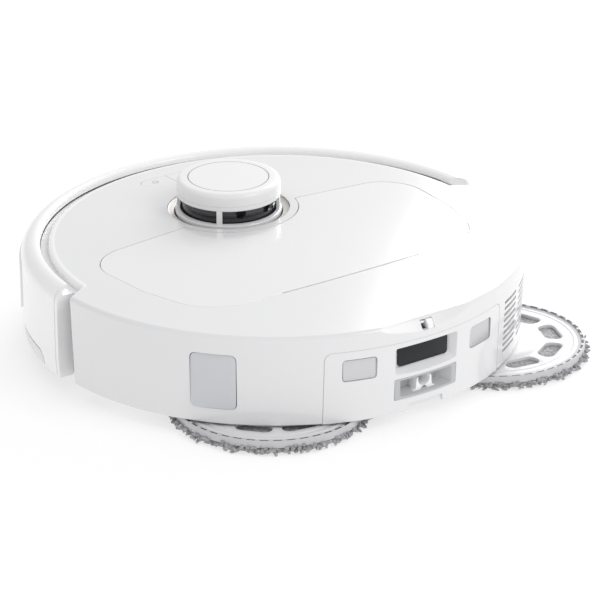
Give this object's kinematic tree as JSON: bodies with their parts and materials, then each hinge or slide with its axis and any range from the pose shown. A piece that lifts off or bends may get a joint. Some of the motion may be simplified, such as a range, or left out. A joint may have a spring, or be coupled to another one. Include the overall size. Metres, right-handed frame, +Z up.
{
  "type": "robot vacuum and mop",
  "caption": "Round robot floor cleaner with a laser turret, sprung bumper, lift-out bin and spinning mop pads, one on a swinging arm.",
  "frame": {"origin": "on the floor under the middle of the robot", "axes": "+Z up, -Y towards the bumper, +Y towards the dock face, +X towards the robot's left"},
  "size_m": [0.3566, 0.3601, 0.102],
  "materials": {
    "gloss_white": "gloss moulded white",
    "trim_white": "gloss off-white",
    "chassis_grey": "fine matte light grey",
    "port_grey": "fine matte grey",
    "window_grey": "gloss light grey window",
    "dark_window": "gloss infrared-dark window",
    "contact_metal": "satin plated contact",
    "steel": "bright steel",
    "lidar_black": "gloss black",
    "well_beige": "warm grey matte",
    "smoke_clear": "smoked clear plastic",
    "tank_clear": "frosted clear plastic",
    "dark_plastic": "matte charcoal",
    "rubber_dark": "matte rubber",
    "tyre_rubber": "ribbed tyre rubber",
    "belt_rubber": "belt rubber",
    "microfibre": "grey looped microfibre",
    "plate_white": "satin white",
    "filter_paper": "pleated filter paper",
    "battery_wrap": "shrink wrap",
    "circuit_green": "solder mask",
    "mesh_grey": "foam mesh"
  },
  "bodies": {
    "body": {"lower_chassis": "chassis_grey", "top_shell": "gloss_white", "rear_panel": "gloss_white", "charging_contact_left": "contact_metal", "charging_contact_right": "contact_metal", "dock_sensor_window": "dark_window", "filler_port": "port_grey", "side_window": "window_grey", "exhaust_mesh": "mesh_grey", "exhaust_duct": "chassis_grey", "rear_clip": "gloss_white", "bumper_springs": "steel", "lidar_base": "well_beige", "lidar_motor": "steel", "lidar_belt": "belt_rubber", "water_tank": "tank_clear", "tank_stopper": "rubber_dark", "battery": "battery_wrap", "main_board": "circuit_green", "fan_housing": "chassis_grey", "fan_motor": "steel", "brush_guard": "chassis_grey", "brush_gearbox": "dark_plastic", "side_brush_motor": "dark_plastic", "wheel_pivot_pins": "steel", "mop_motor_left": "dark_plastic", "mop_arm_pin": "steel", "cliff_windows": "dark_window", "speaker": "dark_plastic", "chassis_screws": "steel"},
    "bumper": {"bumper": "gloss_white", "bumper_trim": "trim_white", "front_sensor_cover": "gloss_white"},
    "turret": {"turret_cap": "gloss_white"},
    "laser_head": {"lidar_head": "lidar_black"},
    "laser_pulley": {"lidar_pulley": "plate_white"},
    "lid": {"lid": "gloss_white"},
    "power_button": {"power_button": "gloss_white"},
    "dock_button": {"dock_button": "gloss_white"},
    "dust_bin": {"dust_bin": "smoke_clear", "filter_frame": "plate_white", "filter_media": "filter_paper"},
    "bin_lid": {"bin_lid": "dark_plastic"},
    "fan": {"fan_impeller": "dark_plastic"},
    "main_brush": {"main_brush": "rubber_dark"},
    "side_brush": {"side_brush": "rubber_dark"},
    "left_wheel_arm": {"left_wheel_arm": "dark_plastic"},
    "left_wheel": {"left_wheel_hub": "dark_plastic", "left_tyre": "tyre_rubber"},
    "right_wheel_arm": {"right_wheel_arm": "dark_plastic"},
    "right_wheel": {"right_wheel_hub": "dark_plastic", "right_tyre": "tyre_rubber"},
    "caster_fork": {"caster_fork": "chassis_grey"},
    "caster_wheel": {"caster_wheel": "rubber_dark"},
    "left_mop": {"mop_plate_left": "plate_white", "mop_pad_left": "microfibre"},
    "mop_arm": {"mop_arm": "chassis_grey", "mop_motor_right": "dark_plastic"},
    "right_mop": {"mop_plate_right": "plate_white", "mop_pad_right": "microfibre"}
  },
  "joints": [
    {"name": "bumper_press", "type": "slide", "parent": "body", "child": "bumper", "axis": [0, 1, 0], "range_m": [0, 0.004], "stiffness_N_per_m": 600, "springref_m": -0.002, "deforming": ["bumper_springs"]},
    {"name": "turret_press", "type": "slide", "parent": "body", "child": "turret", "axis": [0, 0, -1], "range_m": [0, 0.0015], "stiffness_N_per_m": 900, "springref_m": -0.003},
    {"name": "laser_spin", "type": "hinge", "parent": "body", "child": "laser_head", "pos_m": [0, -0.058, 0.08], "axis": [0, 0, 1], "continuous": true},
    {"name": "laser_pulley_spin", "type": "hinge", "parent": "body", "child": "laser_pulley", "pos_m": [0.052, -0.084, 0.064], "axis": [0, 0, 1], "continuous": true},
    {"name": "lid_lift", "type": "slide", "parent": "body", "child": "lid", "axis": [0, 0, 1], "range_m": [0, 0.25]},
    {"name": "bin_lift", "type": "slide", "parent": "body", "child": "dust_bin", "axis": [0, 0, 1], "range_m": [0, 0.09]},
    {"name": "bin_lid_open", "type": "hinge", "parent": "dust_bin", "child": "bin_lid", "pos_m": [0, 0.074, 0.063], "axis": [-1, 0, 0], "range_deg": [0, 60]},
    {"name": "power_button_press", "type": "slide", "parent": "body", "child": "power_button", "axis": [0, 0, -1], "range_m": [0, 0.0006], "stiffness_N_per_m": 600, "springref_m": -0.002},
    {"name": "dock_button_press", "type": "slide", "parent": "body", "child": "dock_button", "axis": [0, 0, -1], "range_m": [0, 0.0006], "stiffness_N_per_m": 600, "springref_m": -0.002},
    {"name": "fan_spin", "type": "hinge", "parent": "body", "child": "fan", "pos_m": [-0.05, 0.036, 0.042], "axis": [1, 0, 0], "continuous": true},
    {"name": "main_brush_spin", "type": "hinge", "parent": "body", "child": "main_brush", "pos_m": [0, -0.062, 0.025], "axis": [1, 0, 0], "continuous": true},
    {"name": "side_brush_spin", "type": "hinge", "parent": "body", "child": "side_brush", "pos_m": [-0.098, -0.108, 0.005], "axis": [0, 0, 1], "continuous": true},
    {"name": "left_wheel_drop", "type": "hinge", "parent": "body", "child": "left_wheel_arm", "pos_m": [0.099, 0.026, 0.04], "axis": [1, 0, 0], "range_deg": [0, 35]},
    {"name": "left_wheel_spin", "type": "hinge", "parent": "left_wheel_arm", "child": "left_wheel", "pos_m": [0.115, -0.008, 0.035], "axis": [1, 0, 0], "continuous": true},
    {"name": "right_wheel_drop", "type": "hinge", "parent": "body", "child": "right_wheel_arm", "pos_m": [-0.099, 0.026, 0.04], "axis": [1, 0, 0], "range_deg": [0, 35]},
    {"name": "right_wheel_spin", "type": "hinge", "parent": "right_wheel_arm", "child": "right_wheel", "pos_m": [-0.115, -0.008, 0.035], "axis": [1, 0, 0], "continuous": true},
    {"name": "caster_swivel", "type": "hinge", "parent": "body", "child": "caster_fork", "pos_m": [0, -0.138, 0.026], "axis": [0, 0, 1], "continuous": true},
    {"name": "caster_roll", "type": "hinge", "parent": "caster_fork", "child": "caster_wheel", "pos_m": [0, -0.134, 0.011], "axis": [1, 0, 0], "continuous": true},
    {"name": "left_mop_spin", "type": "hinge", "parent": "body", "child": "left_mop", "pos_m": [0.0776, 0.1019, 0.006], "axis": [0, 0, 1], "continuous": true},
    {"name": "mop_arm_swing", "type": "hinge", "parent": "body", "child": "mop_arm", "pos_m": [-0.10772, 0.05351, 0.02], "axis": [0, 0, 1], "range_deg": [-30, 0]},
    {"name": "right_mop_spin", "type": "hinge", "parent": "mop_arm", "child": "right_mop", "pos_m": [-0.10583, 0.11048, 0.006], "axis": [0, 0, 1], "continuous": true}
  ],
  "couplings": [
    {"joint": "laser_pulley_spin", "follows": "laser_spin", "ratio": 5.2857},
    {"joint": "bin_lift", "follows": "lid_lift", "ratio": 0.36},
    {"joint": "bin_lid_open", "follows": "lid_lift", "rad_per_m": 4.18}
  ]
}
